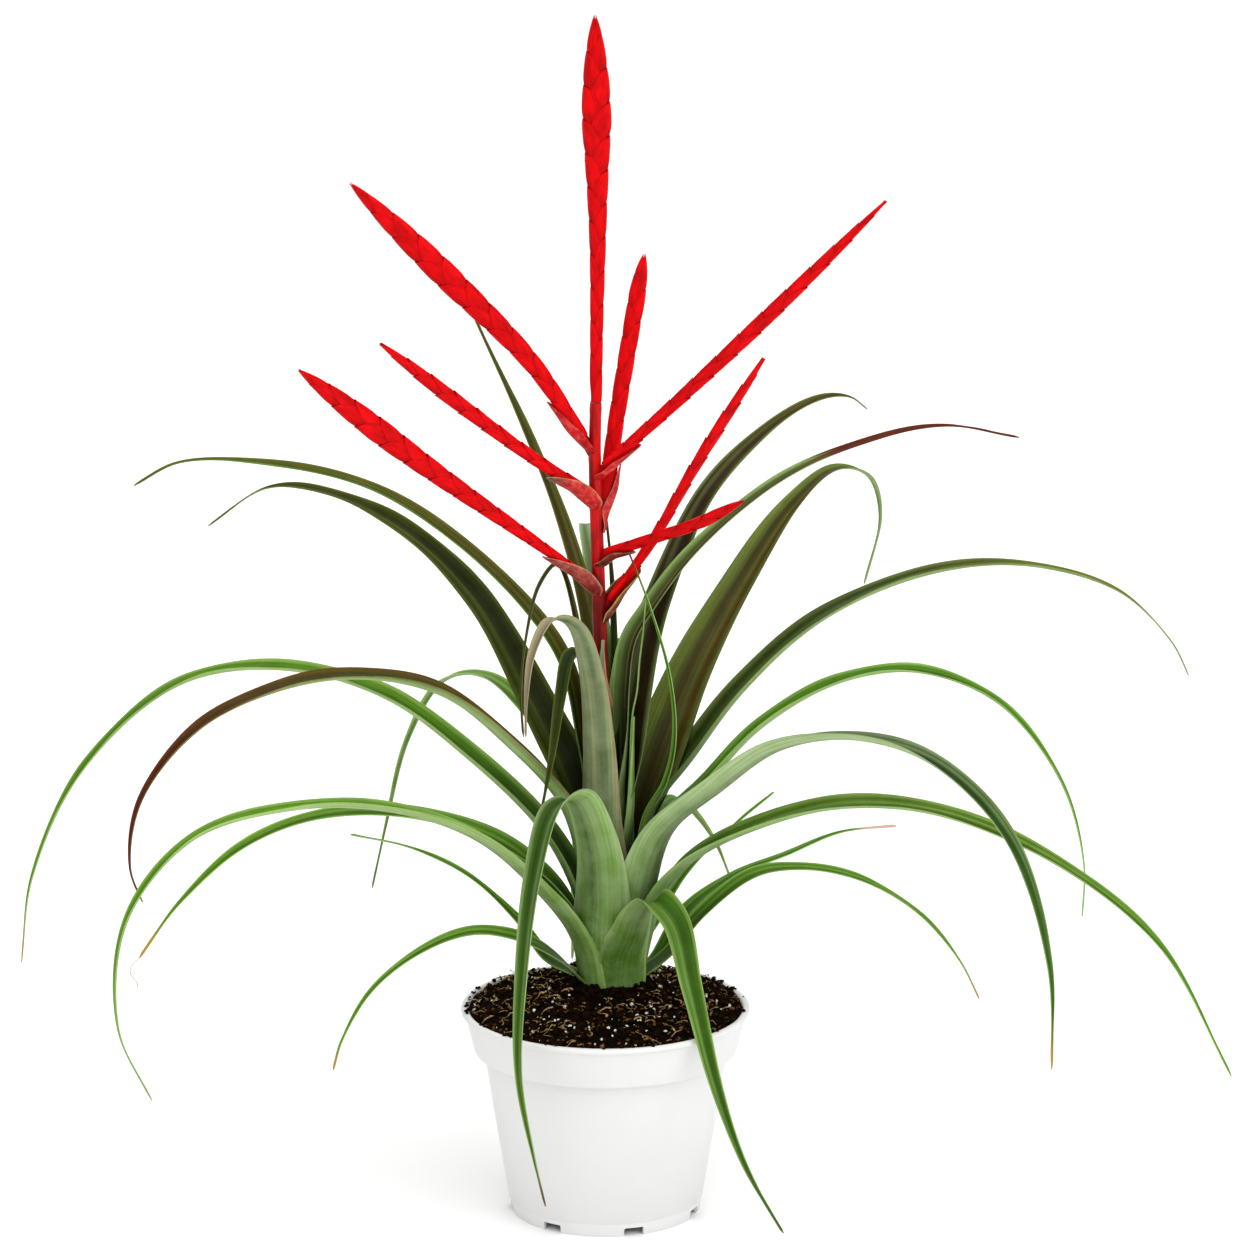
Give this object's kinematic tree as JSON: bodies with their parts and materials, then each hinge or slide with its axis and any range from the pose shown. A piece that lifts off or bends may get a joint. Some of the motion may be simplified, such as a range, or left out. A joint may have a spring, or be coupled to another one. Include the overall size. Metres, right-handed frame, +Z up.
{
  "type": "potted bromeliad",
  "caption": "Bromeliad with arching strap leaves and a stalk of flattened red flower spikes, growing in peat soil in a white nursery pot.",
  "frame": {"origin": "centre of the pot's base, on the surface the pot stands on", "axes": "+Z up, front of the plant towards -Y, +X to the viewer's right"},
  "size_m": [0.6315, 0.3323, 0.631],
  "materials": {
    "pot_plastic": "white moulded polypropylene, matte",
    "peat_soil": "dark peat with fibres and perlite, rough",
    "flower_stalk": "dark red living stalk, satin",
    "leaf_fresh": "mid green living blade, satin with a grey bloom",
    "leaf_pale": "pale grey-green living blade, satin with a bloom",
    "leaf_red": "red-brown living blade, satin",
    "leaf_dark": "nearly black-green living blade, satin",
    "leaf_olive": "olive-brown living blade, satin",
    "flower_spike": "scarlet bracts, satin",
    "stalk_bract": "pinkish-brown bract, satin"
  },
  "bodies": {
    "root": {"pot": "pot_plastic", "soil": "peat_soil", "stem": "flower_stalk", "leaf_front_right_hanging": "leaf_fresh", "leaf_left_lowest": "leaf_fresh", "leaf_back_left_low": "leaf_fresh", "leaf_right_low": "leaf_fresh", "leaf_back_right_low": "leaf_fresh", "leaf_back_low": "leaf_fresh", "leaf_right_low_long": "leaf_fresh", "leaf_left_low_arch": "leaf_fresh", "leaf_left_low_inner": "leaf_fresh", "leaf_front_left_hanging": "leaf_pale", "leaf_right_broad": "leaf_pale", "leaf_left_long": "leaf_fresh", "leaf_back_right_hanging": "leaf_fresh", "leaf_right_middle": "leaf_fresh", "leaf_left_red": "leaf_red", "leaf_back_left_pale": "leaf_pale", "leaf_back_arch": "leaf_fresh", "leaf_right_long": "leaf_dark", "leaf_left_high_broad": "leaf_dark", "leaf_back_right_broad": "leaf_olive", "leaf_front_pale": "leaf_pale", "leaf_back_high": "leaf_fresh", "leaf_left_high_thin": "leaf_olive", "leaf_right_high_dark": "leaf_dark", "leaf_back_blunt": "leaf_pale", "leaf_front_left_dark": "leaf_dark", "leaf_right_dry_tip": "leaf_fresh", "leaf_right_high_thin": "leaf_olive", "leaf_back_left_straight": "leaf_olive", "leaf_back_left_curl": "leaf_olive", "leaf_centre_upright": "leaf_dark", "leaf_back_right_thin": "leaf_fresh", "leaf_centre_strip": "leaf_dark", "leaf_centre_young": "leaf_dark", "leaf_stalk_young": "leaf_pale", "spike_left_top": "flower_spike", "bract_left_top": "stalk_bract", "spike_left_middle": "flower_spike", "bract_left_middle": "stalk_bract", "spike_left_low": "flower_spike", "bract_left_low": "stalk_bract", "spike_right_short": "flower_spike", "bract_right_short": "stalk_bract", "spike_right_long": "flower_spike", "bract_right_long": "stalk_bract", "spike_right_thin": "flower_spike", "bract_right_thin": "stalk_bract", "spike_right_low": "flower_spike", "bract_right_low": "stalk_bract", "spike_top": "flower_spike"}
  },
  "joints": []
}
